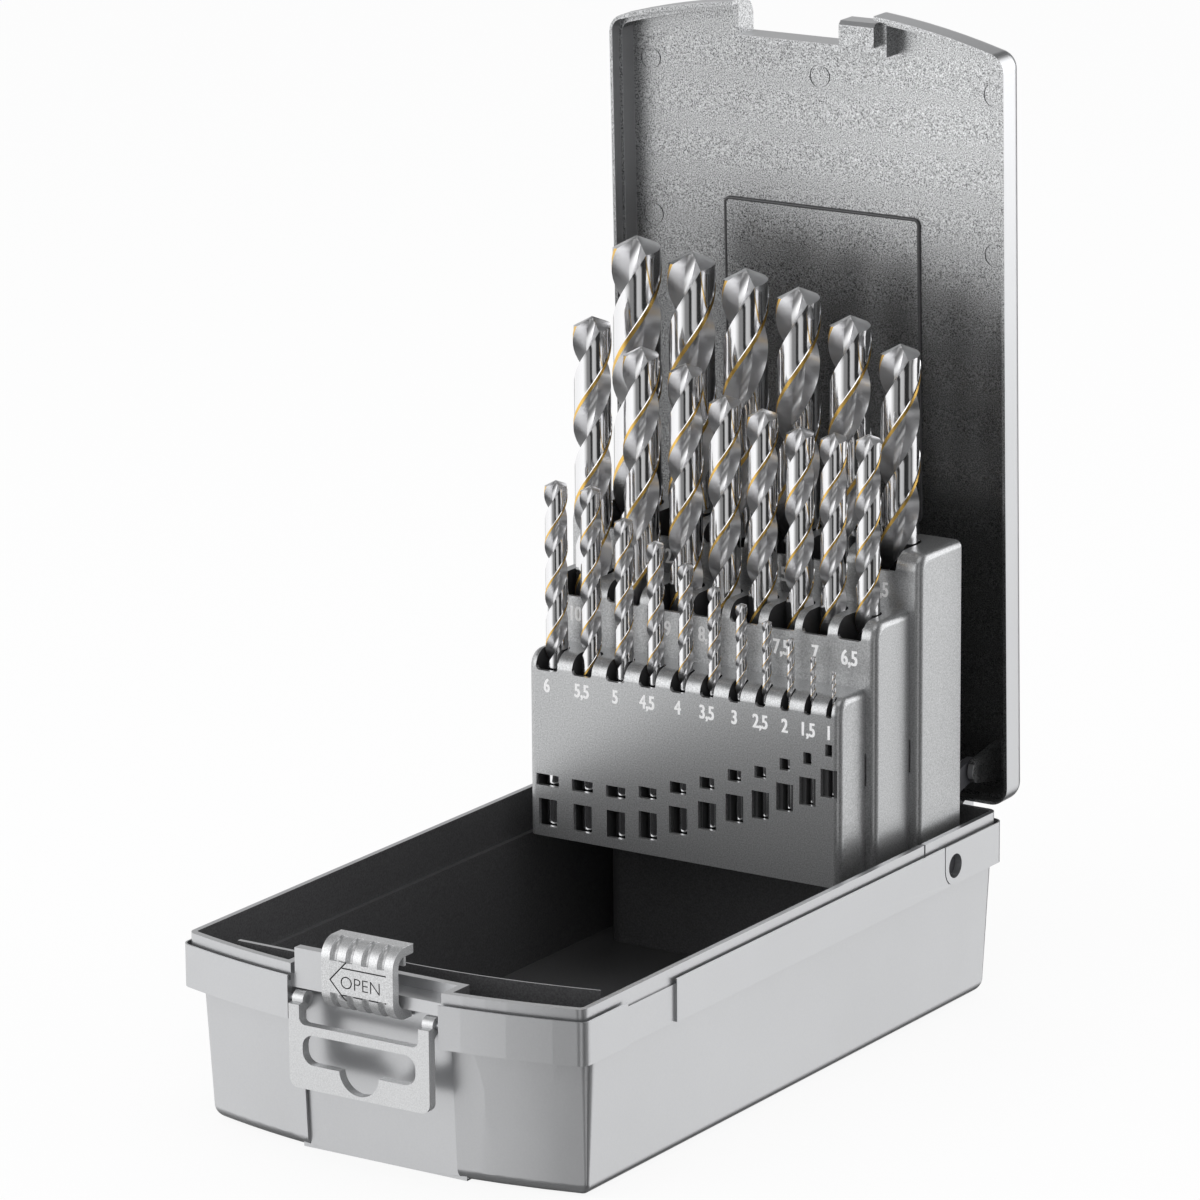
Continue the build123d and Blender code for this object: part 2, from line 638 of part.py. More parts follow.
for side, name in ((-1, "left"), (1, "right")):
    with BuildPart() as hanger_pin:
        with BuildSketch(Plane.YZ.offset(side * (hanger_half_width - hanger_arm))):
            with Locations((hanger_pivot_y, hanger_pivot_z)):
                Circle(hanger_pin_radius)
        extrude(amount=side * (notch_half_width + hanger_pin_hole_depth - hanger_half_width + hanger_arm))
    save(hanger_pin.part, "hanger_pin_" + name)


# ---------------------------------------------------------------- drill holder
def spaced(start_x, web, row):
    """Centres of a row whose neighbours stand a web apart."""
    centres = [start_x]
    for (before, _, _), (after, _, _) in zip(row, row[1:]):
        centres.append(centres[-1] + (before + after) / 2 + web)
    return centres


front_row_x = spaced(front_row_start_x, front_row_web, front_row)
rear_row_x = spaced(rear_row_start_x, rear_row_web, rear_row)
front_row_y = [
    holder_front_y + pocket_front_wall + front_drill_setback + diameter / 2 + pocket_clearance
    for diameter, _, _ in front_row
]
middle_row_y = [middle_block_front_y + middle_drill_depth] * len(middle_row)
rear_row_y = [rear_block_front_y + rear_drill_depth] * len(rear_row)


def block_body(front, depth, half_width, top_z):
    """One step of the holder, rounded along its top front edge and down its front corners."""
    with BuildPart() as body:
        with BuildSketch(Plane.YZ) as profile:
            with Locations((front + depth / 2, (holder_bottom_z + top_z) / 2)):
                Rectangle(depth, top_z - holder_bottom_z)
            fillet(profile.vertices().group_by(Axis.X)[0].sort_by(Axis.Y)[-1], block_front_edge_radius)
        extrude(amount=half_width, both=True)
        corner_edges = [
            edge for edge in body.edges().group_by(Axis.X)[0] + body.edges().group_by(Axis.X)[-1]
            if edge.center().Y < front + 0.01
        ]
        fillet(corner_edges, block_corner_radius)
    return body.part


def pocket_outline(x, y, diameter, front):
    """Pocket for one drill: round behind the drill, square in front of it."""
    pocket_radius = diameter / 2 + pocket_clearance
    with BuildSketch() as pocket:
        with Locations((x, y)):
            Circle(pocket_radius)
        with Locations((x, (y + front + pocket_front_wall) / 2)):
            Rectangle(2 * pocket_radius, y - front - pocket_front_wall)
    return pocket.sketch


def pocket_mouth(x, y, diameter, front, top_z):
    """Way out of a pocket through the block's front edge, with round lower corners."""
    pocket_radius = diameter / 2 + pocket_clearance
    corner = min(mouth_corner_radius, 0.6 * pocket_radius)
    with BuildPart() as mouth:
        with BuildSketch(Plane.XZ.offset(-y)):
            with Locations((x, top_z)):
                RectangleRounded(2 * pocket_radius, 2 * mouth_drop, corner)
        extrude(amount=y - front + mouth_corner_radius)
    return mouth.part


# ---------------------------------------------------------------- front_row_block
with BuildPart() as front_row_block:
    add(block_body(holder_front_y, front_block_depth, front_block_half_width, front_block_top_z))
    for x, y, (diameter, length, rise) in zip(front_row_x, front_row_y, front_row):
        with BuildSketch(Plane.XY.offset(lowest_pocket_z + rise)):
            add(pocket_outline(x, y, diameter, holder_front_y))
        extrude(amount=front_block_top_z - lowest_pocket_z - rise, mode=Mode.SUBTRACT)
        add(pocket_mouth(x, y, diameter, holder_front_y, front_block_top_z), mode=Mode.SUBTRACT)
        # two windows through the front wall
        with BuildSketch(Plane.XZ.offset(-holder_front_y)):
            with Locations((x, lowest_pocket_z + rise + window_rise)):
                Rectangle(
                    min(window_width, window_least_width + window_width_gain * diameter), window_height
                )
            with Locations((x, lowest_pocket_z + rise + window_rise + window_spacing)):
                Rectangle(diameter + 2 * window_margin, upper_window_height)
        extrude(amount=-pocket_front_wall, mode=Mode.SUBTRACT)
    # clips that hold it to the middle block
    with BuildSketch(Plane.XZ.offset(-middle_block_front_y)):
        with Locations(
            (clip_thickness / 2 - front_block_half_width, clip_z),
            (front_block_half_width - clip_thickness / 2, clip_z),
        ):
            Rectangle(clip_thickness, clip_height)
    extrude(amount=-clip_reach)
save(front_row_block.part, "front_row_block")

# ---------------------------------------------------------------- middle_row_block
with BuildPart() as middle_row_block:
    add(block_body(middle_block_front_y, middle_block_depth, middle_block_half_width, middle_block_top_z))
    for x, y, (diameter, length, rise) in zip(middle_row_x, middle_row_y, middle_row):
        with BuildSketch(Plane.XY.offset(lowest_pocket_z + rise)):
            add(pocket_outline(x, y, diameter, middle_block_front_y))
        extrude(amount=middle_block_top_z - lowest_pocket_z - rise, mode=Mode.SUBTRACT)
        add(pocket_mouth(x, y, diameter, middle_block_front_y, middle_block_top_z), mode=Mode.SUBTRACT)
    # slots for the front block's clips, and its own clips to the rear block
    with BuildSketch(Plane.XZ.offset(-middle_block_front_y)):
        with Locations(
            (clip_thickness / 2 - front_block_half_width, clip_z),
            (front_block_half_width - clip_thickness / 2, clip_z),
        ):
            Rectangle(clip_thickness + 2 * clip_gap, clip_height + 2 * clip_gap)
    extrude(amount=-clip_reach - clip_gap, mode=Mode.SUBTRACT)
    with BuildSketch(Plane.XZ.offset(-rear_block_front_y)):
        with Locations(
            (clip_thickness / 2 - middle_block_half_width, clip_z),
            (middle_block_half_width - clip_thickness / 2, clip_z),
        ):
            Rectangle(clip_thickness, clip_height)
    extrude(amount=-clip_reach)
save(middle_row_block.part, "middle_row_block")

# ---------------------------------------------------------------- rear_row_block
link_upper_rest_y = hinge_y + link_offset_y
link_upper_rest_z = hinge_z + link_offset_z
link_length = math.hypot(link_upper_rest_y - link_lower_y, link_upper_rest_z - link_lower_z)
link_slope = math.degrees(
    math.atan2(link_upper_rest_z - link_lower_z, link_upper_rest_y - link_lower_y)
)
link_slot_half_width = link_thickness / 2 + link_side_gap
link_slot_outer_x = link_x + link_slot_half_width
link_slot_inner_x = link_x - link_slot_half_width
link_swing_radius = link_half_width + link_slot_gap
with BuildPart() as rear_row_block:
    add(block_body(rear_block_front_y, rear_block_depth, rear_block_half_width, rear_block_top_z))
    for x, y, (diameter, length, rise) in zip(rear_row_x, rear_row_y, rear_row):
        with BuildSketch(Plane.XY.offset(lowest_pocket_z + rise)):
            add(pocket_outline(x, y, diameter, rear_block_front_y))
        extrude(amount=rear_block_top_z - lowest_pocket_z - rise, mode=Mode.SUBTRACT)
        add(pocket_mouth(x, y, diameter, rear_block_front_y, rear_block_top_z), mode=Mode.SUBTRACT)
    with BuildSketch(Plane.XZ.offset(-rear_block_front_y)):
        with Locations(
            (clip_thickness / 2 - middle_block_half_width, clip_z),
            (middle_block_half_width - clip_thickness / 2, clip_z),
        ):
            Rectangle(clip_thickness + 2 * clip_gap, clip_height + 2 * clip_gap)
    extrude(amount=-clip_reach - clip_gap, mode=Mode.SUBTRACT)
    for side in (-1, 1):
        # boss round the pivot, standing out towards the tray's wall
        with BuildSketch(Plane.YZ.offset(side * link_slot_outer_x)):
            with Locations((holder_pivot_y, holder_pivot_z)):
                Circle(pivot_boss_radius)
            with Locations((holder_pivot_y, (holder_pivot_z + pivot_ear_top_z) / 2)):
                Rectangle(2 * pivot_boss_radius, pivot_ear_top_z - holder_pivot_z)
        extrude(amount=side * (rear_block_half_width + pivot_boss_reach - link_slot_outer_x))
        with BuildSketch(Plane.YZ.offset(side * link_slot_outer_x)):
            with Locations((holder_pivot_y, holder_pivot_z)):
                Circle(pivot_hole_radius - pivot_pin_clearance + hinge_press)
        extrude(
            amount=side * (rear_block_half_width + pivot_boss_reach - link_slot_outer_x),
            mode=Mode.SUBTRACT,
        )
        # slot that the lift link swings in
        with BuildSketch(Plane.YZ.offset(side * link_slot_inner_x)):
            with Locations((link_lower_y, link_lower_z)):
                Circle(link_swing_radius)
            with Locations(Location((link_lower_y, link_lower_z), link_slope)):
                Rectangle(link_length, link_swing_radius, align=(Align.MIN, Align.MIN))
            with BuildLine():
                Polyline(
                    (link_lower_y - link_swing_radius, holder_bottom_z),
                    (link_lower_y - link_swing_radius, link_lower_z), (link_lower_y, link_lower_z),
                    (link_upper_rest_y, link_upper_rest_z), (link_upper_rest_y, holder_bottom_z),
                    close=True,
                )
            make_face()
        extrude(amount=side * 2 * link_slot_half_width, mode=Mode.SUBTRACT)
        with BuildSketch(Plane.YZ.offset(side * (link_slot_inner_x - link_pin_wall))):
            with Locations((link_lower_y, link_lower_z)):
                Circle(link_pin_radius + hinge_press)
        extrude(amount=side * 2 * (link_slot_half_width + link_pin_wall), mode=Mode.SUBTRACT)
save(rear_row_block.part, "rear_row_block")

# ---------------------------------------------------------------- pivots and lift links
for side, name in ((-1, "left"), (1, "right")):
    with BuildPart() as holder_pivot_pin:
        with BuildSketch(Plane.YZ.offset(side * link_slot_outer_x)):
            with Locations((holder_pivot_y, holder_pivot_z)):
                Circle(pivot_hole_radius - pivot_pin_clearance)
        extrude(amount=side * (case_half_width - pivot_pin_recess - link_slot_outer_x))
    save(holder_pivot_pin.part, "holder_pivot_pin_" + name)

    with BuildPart() as link_lower_pin:
        with BuildSketch(Plane.YZ.offset(side * (link_slot_inner_x - link_pin_wall))):
            with Locations((link_lower_y, link_lower_z)):
                Circle(link_pin_radius)
        extrude(amount=side * 2 * (link_slot_half_width + link_pin_wall))
    save(link_lower_pin.part, "link_lower_pin_" + name)

    with BuildPart() as lift_link:
        with BuildSketch(Plane.YZ.offset(side * (link_x - link_thickness / 2))):
            with Locations(Location((link_lower_y, link_lower_z), link_slope)):
                Rectangle(link_length, 2 * link_half_width, align=(Align.MIN, Align.CENTER))
            with Locations((link_lower_y, link_lower_z), (link_upper_rest_y, link_upper_rest_z)):
                Circle(link_half_width)
            with Locations((link_lower_y, link_lower_z)):
                Circle(link_pin_radius + hinge_clearance, mode=Mode.SUBTRACT)
            with Locations((link_upper_rest_y, link_upper_rest_z)):
                Circle(link_pin_radius + link_pin_play, mode=Mode.SUBTRACT)
        extrude(amount=side * link_thickness)
    save(lift_link.part, "lift_link_" + name)

    link_head_x = link_x - link_thickness / 2 - link_side_gap
    with BuildPart() as link_upper_pin:
        with BuildSketch(Plane.YZ.offset(side * link_head_x)):
            with Locations((link_upper_rest_y, link_upper_rest_z)):
                Circle(link_pin_radius)
        extrude(amount=side * (lug_inner_x + lug_thickness - link_head_x))
        with BuildSketch(Plane.YZ.offset(side * link_head_x)):
            with Locations((link_upper_rest_y, link_upper_rest_z)):
                Circle(link_pin_head_radius)
        extrude(amount=-side * link_pin_head)
    save(link_upper_pin.part, "link_upper_pin_" + name)


# ---------------------------------------------------------------- drills
def twist_drill(x, y, floor_z, diameter, length):
    """A two-fluted twist drill standing on the end of its shank."""
    radius = diameter / 2
    point_radius = radius * (1 - point_relief)
    point_height = radius / math.tan(math.radians(point_angle / 2))
    shank_length = (1 - flute_share) * length
    twisted_length = length - shank_length - point_height
    twist = 360 * twisted_length / (flute_pitch * diameter)
    with BuildSketch(Plane.XY.offset(shank_length)) as section:
        Circle(radius)
        with PolarLocations(flute_centre * radius, 2):
            Circle(flute_radius * radius, mode=Mode.SUBTRACT)
    twisted = Solid.extrude_linear_with_rotation(
        section.sketch.face(), (0, 0, shank_length), (0, 0, twisted_length), twist
    )
    with BuildPart() as shank:
        with BuildSketch(Plane.XY):
            Circle(radius)
        extrude(amount=shank_length)
    with BuildPart() as point:
        with BuildSketch(Plane.XZ):
            with BuildLine():
                Polyline(
                    (0, length - point_height), (point_radius, length - point_height),
                    (0, length), close=True,
                )
            make_face()
        revolve(axis=Axis.Z)
        with BuildSketch(Plane.XY.offset(length - point_height)):
            with PolarLocations(flute_centre * radius, 2, twist):
                Circle((flute_radius + point_relief) * radius)
        extrude(amount=point_height, mode=Mode.SUBTRACT)
    return (twisted + shank.part + point.part).moved(Location((x, y, floor_z)))


drill_places = [
    *zip(front_row_x, front_row_y, front_row),
    *zip(middle_row_x, middle_row_y, middle_row),
    *zip(rear_row_x, rear_row_y, rear_row),
]
for x, y, (diameter, length, rise) in drill_places:
    drill = twist_drill(x, y, lowest_pocket_z + rise, diameter, length)
    save(drill, "drill_" + str(diameter).replace(".", "_"))
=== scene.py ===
"""A case of twenty-five twist drills, open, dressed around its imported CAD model.

Metres. The tray stands on z = 0 with its latch towards -Y, and the lid stands up behind it.
"""
import json
import math

import bpy
from mathutils import Matrix, Vector

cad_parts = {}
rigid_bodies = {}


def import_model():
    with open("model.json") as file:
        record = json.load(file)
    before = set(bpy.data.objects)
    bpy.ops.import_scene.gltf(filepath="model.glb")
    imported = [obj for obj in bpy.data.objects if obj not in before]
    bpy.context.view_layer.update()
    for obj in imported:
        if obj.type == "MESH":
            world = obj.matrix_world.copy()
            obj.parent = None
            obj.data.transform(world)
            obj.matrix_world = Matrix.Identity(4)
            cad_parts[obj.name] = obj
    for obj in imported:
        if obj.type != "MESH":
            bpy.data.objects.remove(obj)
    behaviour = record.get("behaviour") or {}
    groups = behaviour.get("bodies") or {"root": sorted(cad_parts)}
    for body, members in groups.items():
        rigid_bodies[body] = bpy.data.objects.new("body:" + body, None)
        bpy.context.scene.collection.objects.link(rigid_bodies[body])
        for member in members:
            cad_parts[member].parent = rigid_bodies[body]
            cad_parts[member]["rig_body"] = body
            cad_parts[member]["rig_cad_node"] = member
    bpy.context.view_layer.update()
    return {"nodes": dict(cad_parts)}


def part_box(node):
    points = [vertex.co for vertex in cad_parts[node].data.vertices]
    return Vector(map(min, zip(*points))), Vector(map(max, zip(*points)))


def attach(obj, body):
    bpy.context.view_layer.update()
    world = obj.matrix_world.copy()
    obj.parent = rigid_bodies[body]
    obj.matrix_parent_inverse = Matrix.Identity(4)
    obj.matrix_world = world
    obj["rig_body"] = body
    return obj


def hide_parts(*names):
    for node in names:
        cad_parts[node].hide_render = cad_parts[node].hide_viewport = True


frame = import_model()
mm = 0.001

# ------------------------------------------------------------------ the studio
# A long lens stands well back from the case's front right corner, a little above it.
# The case stands on a pale floor under three soft boxes, in a room with light and dark walls.
camera_place = Vector((0.9052, -1.3766, 0.5550))
camera_heading = math.radians(33.350)
camera_dip = math.radians(14.827)
camera_roll = math.radians(-0.419)
camera_lens = 205.592

camera_data = bpy.data.cameras.new("camera")
camera_data.lens = camera_lens
camera_data.sensor_width = 36.0
camera_data.clip_end = 20.0
camera = bpy.data.objects.new("camera", camera_data)
camera.matrix_world = (
    Matrix.Translation(camera_place)
    @ Matrix.Rotation(camera_heading, 4, "Z")
    @ Matrix.Rotation(math.pi / 2 - camera_dip, 4, "X")
    @ Matrix.Rotation(camera_roll, 4, "Z")
)
bpy.context.collection.objects.link(camera)
bpy.context.scene.camera = camera
bpy.context.scene.view_settings.view_transform = "Standard"


def soft_box(name, place, aim, width, height, power):
    """A rectangular lamp that faces the aim."""
    lamp_data = bpy.data.lights.new(name, "AREA")
    lamp_data.shape = "RECTANGLE"
    lamp_data.size = width
    lamp_data.size_y = height
    lamp_data.energy = power
    lamp = bpy.data.objects.new(name, lamp_data)
    lamp.location = place
    lamp.rotation_euler = (Vector(aim) - Vector(place)).to_track_quat("-Z", "Y").to_euler()
    bpy.context.collection.objects.link(lamp)


soft_box("right_box", (0.80, 1.05, 0.45), (0, 0, 0.08), width=0.9, height=1.1, power=4)
soft_box("left_box", (-0.85, -0.95, 0.60), (0, 0, 0.10), width=1.2, height=1.2, power=5)
soft_box("top_box", (0.15, -0.25, 1.30), (0, 0, 0.05), width=0.8, height=0.8, power=2)


def fade(tree, value, start, end, start_level, end_level):
    """A smooth change from one level to another, as the value goes from start to end."""
    change = tree.nodes.new("ShaderNodeMapRange")
    change.interpolation_type = "SMOOTHSTEP"
    change.inputs["From Min"].default_value = start
    change.inputs["From Max"].default_value = end
    change.inputs["To Min"].default_value = start_level
    change.inputs["To Max"].default_value = end_level
    tree.links.new(value, change.inputs["Value"])
    return change.outputs[0]


def scaled(tree, color, factor):
    """A node that makes a colour brighter or darker by a factor."""
    scale = tree.nodes.new("ShaderNodeVectorMath")
    scale.operation = "SCALE"
    if isinstance(color, tuple):
        scale.inputs[0].default_value = color[:3]
    else:
        tree.links.new(color, scale.inputs[0])
    tree.links.new(factor, scale.inputs["Scale"])
    return scale.outputs[0]


# the room lights matt surfaces evenly, while glossy ones mirror its light and dark walls
room_grey = (0.85, 0.85, 0.86, 1)
wall_steps = (                    # heading in degrees, level
    (-180, 0.9), (-116, 1.0), (-100, 0.55), (-90, 0.22), (-74, 0.22), (-70, 0.02), (-60, 0.02), (-56, 0.55),
    (-36, 0.45), (-32, 0.02), (-8, 0.03), (-4, 0.25), (8, 0.20), (14, 0.03), (30, 0.9), (76, 1.0),
    (82, 0.04), (100, 0.04), (110, 0.5), (150, 0.5), (160, 0.9), (180, 0.9),
)
ceiling_fade = (0.35, 0.75, 1.22, 0.20)       # height of a direction where it starts and ends, both levels
ground_fade = (-0.42, -0.70, 1.0, 0.12)

world = bpy.data.worlds.new("studio")
bpy.context.scene.world = world
world.use_nodes = True
room = world.node_tree
room.nodes.clear()
direction = room.nodes.new("ShaderNodeTexCoord")
split = room.nodes.new("ShaderNodeSeparateXYZ")
heading = room.nodes.new("ShaderNodeMath")
heading.operation = "ARCTAN2"
turn = room.nodes.new("ShaderNodeMapRange")
turn.inputs["From Min"].default_value = -math.pi
turn.inputs["From Max"].default_value = math.pi
walls = room.nodes.new("ShaderNodeValToRGB")
room.links.new(direction.outputs["Generated"], split.inputs[0])
room.links.new(split.outputs["Y"], heading.inputs[0])
room.links.new(split.outputs["X"], heading.inputs[1])
room.links.new(heading.outputs[0], turn.inputs["Value"])
room.links.new(turn.outputs[0], walls.inputs[0])
ramp = walls.color_ramp
while len(ramp.elements) < len(wall_steps):
    ramp.elements.new(0.5)
for element, (degrees, level) in zip(ramp.elements, wall_steps):
    element.position = (degrees + 180) / 360
    element.color = (level, level, level, 1)
mirrored_color = walls.outputs["Color"]
for ends_and_levels in (ceiling_fade, ground_fade):
    mirrored_color = scaled(room, mirrored_color, fade(room, split.outputs["Z"], *ends_and_levels))
rays = room.nodes.new("ShaderNodeLightPath")
room_light = room.nodes.new("ShaderNodeMix")
room_light.data_type = "RGBA"
room_light.inputs["A"].default_value = room_grey
room.links.new(rays.outputs["Is Glossy Ray"], room_light.inputs["Factor"])
room.links.new(mirrored_color, room_light.inputs["B"])
seen = room.nodes.new("ShaderNodeMix")
seen.data_type = "RGBA"
seen.inputs["B"].default_value = (1, 1, 1, 1)
room.links.new(rays.outputs["Is Camera Ray"], seen.inputs["Factor"])
room.links.new(room_light.outputs["Result"], seen.inputs["A"])
sky = room.nodes.new("ShaderNodeBackground")
room.links.new(seen.outputs["Result"], sky.inputs["Color"])
room_out = room.nodes.new("ShaderNodeOutputWorld")
room.links.new(sky.outputs[0], room_out.inputs[0])

# seen by the camera, the paper floor is mostly glow, so that it reads as white
floor_width = 6
floor_gap = 0.2 * mm
paper_grey = (0.86, 0.86, 0.86, 1)
paper_glow_share = 0.9
bpy.ops.object.select_all(action="DESELECT")
bpy.ops.mesh.primitive_plane_add(size=floor_width, location=(0, 0, -floor_gap))
floor = bpy.context.object
floor.name = "floor"
floor.visible_glossy = False
floor_paint = bpy.data.materials.new("white_paper")
floor_paint.use_nodes = True
paper = floor_paint.node_tree
paper_shader = paper.nodes["Principled BSDF"]
paper_shader.inputs["Base Color"].default_value = paper_grey
paper_shader.inputs["Roughness"].default_value = 0.9
paper_rays = paper.nodes.new("ShaderNodeLightPath")
paper_glow = paper.nodes.new("ShaderNodeEmission")
paper_mix = paper.nodes.new("ShaderNodeMixShader")
paper_share = paper.nodes.new("ShaderNodeMath")
paper_share.operation = "MULTIPLY"
paper_share.inputs[1].default_value = paper_glow_share
paper.links.new(paper_rays.outputs["Is Camera Ray"], paper_share.inputs[0])
paper.links.new(paper_share.outputs[0], paper_mix.inputs["Fac"])
paper.links.new(paper_shader.outputs[0], paper_mix.inputs[1])
paper.links.new(paper_glow.outputs[0], paper_mix.inputs[2])
paper.links.new(paper_mix.outputs[0], paper.nodes["Material Output"].inputs["Surface"])
floor.data.materials.append(floor_paint)

# ------------------------------------------------------------------ base_shell
# The tray is one moulding in grey polypropylene, satin outside and more grained inside, where a much darker
# colour is painted shade.
# Its edges are as the mould leaves them, broken by a quarter of a millimetre.
tray_grey = (0.53, 0.535, 0.545, 1)
# the inside's grey is painted shade: the outside's plastic made much darker, where the tray's shade falls
tray_inner_painted_shade_grey = (0.115, 0.115, 0.118, 1)
satin = 0.85                      # how much a plastic shines like metal
edge_break = 0.25 * mm
sharp_corner = math.radians(32)
weld_distance = 0.002 * mm
flat_within = math.radians(0.8)   # faces that lie this flat to each other become one


def moulded_grain():
    """Spark-eroded grain: a mottled colour, its roughness, and the height of its pits."""
    group = bpy.data.node_groups.new("moulded_grain", "ShaderNodeTree")
    for name, kind in (("Color", "NodeSocketColor"), ("Grain Size", "NodeSocketFloat"),
                       ("Mottle", "NodeSocketFloat"), ("Roughness", "NodeSocketFloat")):
        group.interface.new_socket(name=name, in_out="INPUT", socket_type=kind)
    for name, kind in (("Color", "NodeSocketColor"), ("Roughness", "NodeSocketFloat"),
                       ("Height", "NodeSocketFloat")):
        group.interface.new_socket(name=name, in_out="OUTPUT", socket_type=kind)
    made, link = group.nodes.new, group.links.new
    given, result = made("NodeGroupInput"), made("NodeGroupOutput")
    place = made("ShaderNodeTexCoord")
    per_metre = made("ShaderNodeMath")
    per_metre.operation = "DIVIDE"
    per_metre.inputs[0].default_value = 1.0
    link(given.outputs["Grain Size"], per_metre.inputs[1])
    pits = made("ShaderNodeTexNoise")
    pits.inputs["Detail"].default_value = 3.0
    pits.inputs["Roughness"].default_value = 0.65
    link(place.outputs["Object"], pits.inputs["Vector"])
    link(per_metre.outputs[0], pits.inputs["Scale"])
    clouds = made("ShaderNodeTexNoise")
    clouds.inputs["Scale"].default_value = 26.0
    clouds.inputs["Detail"].default_value = 2.0
    link(place.outputs["Object"], clouds.inputs["Vector"])
    # the pits make the colour lighter and darker by the mottle, and large clouds change it a little
    spread = made("ShaderNodeMapRange")
    spread.inputs["From Min"].default_value = 0.32
    spread.inputs["From Max"].default_value = 0.68
    spread.inputs["To Min"].default_value = -1.0
    link(pits.outputs["Fac"], spread.inputs["Value"])
    mottle = made("ShaderNodeMath")
    mottle.operation = "MULTIPLY"
    link(spread.outputs[0], mottle.inputs[0])
    link(given.outputs["Mottle"], mottle.inputs[1])
    cloudy = made("ShaderNodeMapRange")
    cloudy.inputs["To Min"].default_value = 0.95
    cloudy.inputs["To Max"].default_value = 1.05
    link(clouds.outputs["Fac"], cloudy.inputs["Value"])
    level = made("ShaderNodeMath")
    link(mottle.outputs[0], level.inputs[0])
    link(cloudy.outputs[0], level.inputs[1])
    tint = made("ShaderNodeVectorMath")
    tint.operation = "SCALE"
    link(given.outputs["Color"], tint.inputs[0])
    link(level.outputs[0], tint.inputs["Scale"])
    link(tint.outputs[0], result.inputs["Color"])
    rough = made("ShaderNodeMath")
    rough.operation = "MULTIPLY_ADD"
    rough.inputs[1].default_value = 0.1
    link(mottle.outputs[0], rough.inputs[0])
    link(given.outputs["Roughness"], rough.inputs[2])
    link(rough.outputs[0], result.inputs["Roughness"])
    link(pits.outputs["Fac"], result.inputs["Height"])
    return group


grain = moulded_grain()


def moulded_plastic(name, color, grain_size, mottle, roughness, pit_depth, sheen=0.0):
    """A moulded plastic: the shader with the grain feeding its colour, roughness and normal."""
    material = bpy.data.materials.new(name)
    material.use_nodes = True
    tree = material.node_tree
    shader = tree.nodes["Principled BSDF"]
    shader.inputs["Metallic"].default_value = sheen
    texture = tree.nodes.new("ShaderNodeGroup")
    texture.node_tree = grain
    texture.name = "grain"
    texture.inputs["Color"].default_value = color
    texture.inputs["Grain Size"].default_value = grain_size
    texture.inputs["Mottle"].default_value = mottle
    texture.inputs["Roughness"].default_value = roughness
    pits = tree.nodes.new("ShaderNodeBump")
    pits.inputs["Strength"].default_value = 1.0
    pits.inputs["Distance"].default_value = pit_depth
    tree.links.new(texture.outputs["Height"], pits.inputs["Height"])
    tree.links.new(pits.outputs["Normal"], shader.inputs["Normal"])
    tree.links.new(texture.outputs["Color"], shader.inputs["Base Color"])
    tree.links.new(texture.outputs["Roughness"], shader.inputs["Roughness"])
    return material


def shade_flat_faces(piece):
    """Smooth shading of the selected piece that keeps flat faces flat and sharp corners sharp."""
    bpy.ops.object.shade_smooth_by_angle(angle=sharp_corner)
    flats = piece.modifiers.new("flat_faces", "WEIGHTED_NORMAL")
    flats.keep_sharp = True
    bpy.ops.object.modifier_apply(modifier=flats.name)


def softened(node, name, width, material):
    """A copy of a CAD node with its edges broken, which stands for the node."""
    piece = frame["nodes"][node].copy()
    piece.data = frame["nodes"][node].data.copy()
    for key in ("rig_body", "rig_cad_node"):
        del piece[key]
    piece.parent = None
    piece.name = name
    bpy.context.collection.objects.link(piece)
    bpy.ops.object.select_all(action="DESELECT")
    piece.select_set(True)
    bpy.context.view_layer.objects.active = piece
    bpy.ops.object.mode_set(mode="EDIT")
    bpy.ops.mesh.select_all(action="SELECT")
    bpy.ops.mesh.remove_doubles(threshold=weld_distance)
    bpy.ops.mesh.dissolve_limited(angle_limit=flat_within)
    bpy.ops.object.mode_set(mode="OBJECT")
    edges = piece.modifiers.new("broken_edges", "BEVEL")
    edges.width = width
    edges.segments = 2
    edges.limit_method = "ANGLE"
    edges.angle_limit = sharp_corner
    edges.miter_outer = "MITER_SHARP"
    bpy.ops.object.modifier_apply(modifier=edges.name)
    shade_flat_faces(piece)
    piece.data.materials.clear()
    piece.data.materials.append(material)
    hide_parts(node)
    return piece


tray_plastic = moulded_plastic(
    "tray_plastic", tray_grey, grain_size=0.5 * mm, mottle=0.02, roughness=0.31, pit_depth=0.003 * mm,
    sheen=satin,
)
# the inside's material: a coarser grain, and the darker grey of painted shade
tray_inside = moulded_plastic(
    "tray_inside", tray_inner_painted_shade_grey, grain_size=0.5 * mm, mottle=0.30, roughness=0.36, pit_depth=0.01 * mm,
    sheen=0.35,
)
tray = softened("base_shell", "tray", edge_break, tray_plastic)
tray.data.materials.append(tray_inside)
